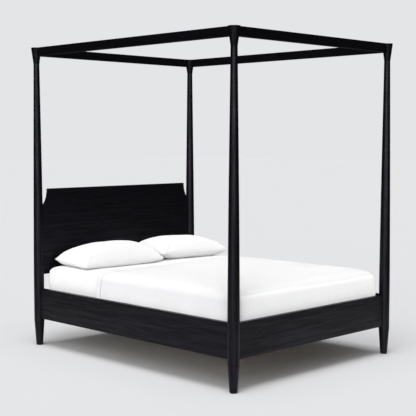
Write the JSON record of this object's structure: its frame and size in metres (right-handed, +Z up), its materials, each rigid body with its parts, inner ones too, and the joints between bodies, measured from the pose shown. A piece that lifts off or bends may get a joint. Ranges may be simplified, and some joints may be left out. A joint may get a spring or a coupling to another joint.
{
  "type": "four poster canopy bed",
  "caption": "Black-stained four poster bed with turned tapering posts, a rectangular canopy frame, a panel headboard with scooped corners, slats, mattress and white bedding.",
  "frame": {"origin": "on the floor under the middle of the bed", "axes": "+Z up along the posts, +Y from the foot to the head, +X to the right of a person standing at the foot and facing the head"},
  "size_m": [1.698, 2.15, 2.281],
  "materials": {
    "black_stained_wood": "open-grain black stain under a satin lacquer",
    "plain_pine": "planed pine",
    "dark_nylon": "moulded nylon",
    "black_steel": "black powder coat",
    "zinc_steel": "zinc plated",
    "fitted_sheet": "white percale cotton",
    "coverlet_cloth": "white brushed cotton",
    "pillow_cloth": "white percale cotton"
  },
  "bodies": {
    "bed_frame": {"beam_hangers": "black_steel", "canopy_bolts": "zinc_steel", "canopy_nuts": "zinc_steel", "canopy_pocket_plugs": "black_stained_wood", "canopy_rail_foot": "black_stained_wood", "canopy_rail_head": "black_stained_wood", "canopy_rail_left": "black_stained_wood", "canopy_rail_right": "black_stained_wood", "centre_beam": "plain_pine", "centre_leg_foot": "black_stained_wood", "centre_leg_head": "black_stained_wood", "foot_glides": "dark_nylon", "foot_rail": "black_stained_wood", "half_moon_washers": "zinc_steel", "hanger_bolts": "zinc_steel", "hanger_screws": "zinc_steel", "head_rail": "black_stained_wood", "headboard_dowels": "plain_pine", "headboard_panel": "black_stained_wood", "ledger_left": "plain_pine", "ledger_right": "plain_pine", "leg_foot_left": "black_stained_wood", "leg_foot_right": "black_stained_wood", "leg_head_left": "black_stained_wood", "leg_head_right": "black_stained_wood", "leg_studs": "zinc_steel", "lower_post_foot_left": "black_stained_wood", "lower_post_foot_right": "black_stained_wood", "lower_post_head_left": "black_stained_wood", "lower_post_head_right": "black_stained_wood", "post_studs": "zinc_steel", "rail_nuts": "zinc_steel", "side_rail_left": "black_stained_wood", "side_rail_right": "black_stained_wood", "slat_01": "plain_pine", "slat_02": "plain_pine", "slat_03": "plain_pine", "slat_04": "plain_pine", "slat_05": "plain_pine", "slat_06": "plain_pine", "slat_07": "plain_pine", "slat_08": "plain_pine", "slat_09": "plain_pine", "slat_10": "plain_pine", "slat_11": "plain_pine", "slat_12": "plain_pine", "slat_13": "plain_pine", "slat_14": "plain_pine", "upper_post_foot_left": "black_stained_wood", "upper_post_foot_right": "black_stained_wood", "upper_post_head_left": "black_stained_wood", "upper_post_head_right": "black_stained_wood", "wood_screws": "zinc_steel"},
    "bedding": {"mattress": "fitted_sheet", "coverlet": "coverlet_cloth"},
    "left_pillow": {"pillow_left": "pillow_cloth"},
    "right_pillow": {"pillow_right": "pillow_cloth"},
    "foot_leveller": {"leveller_foot": "dark_nylon"},
    "head_leveller": {"leveller_head": "dark_nylon"}
  },
  "joints": [
    {"name": "mattress_lift", "type": "slide", "parent": "bed_frame", "child": "bedding", "axis": [0, 0, 1], "range_m": [0, 0.5]},
    {"name": "left_pillow_lift", "type": "slide", "parent": "bedding", "child": "left_pillow", "axis": [0, 0, 1], "range_m": [0, 0.35]},
    {"name": "right_pillow_lift", "type": "slide", "parent": "bedding", "child": "right_pillow", "axis": [0, 0, 1], "range_m": [0, 0.35]},
    {"name": "foot_leveller_screw", "type": "slide", "parent": "bed_frame", "child": "foot_leveller", "axis": [0, 0, 1], "range_m": [0, 0.012]},
    {"name": "head_leveller_screw", "type": "slide", "parent": "bed_frame", "child": "head_leveller", "axis": [0, 0, 1], "range_m": [0, 0.012]}
  ]
}
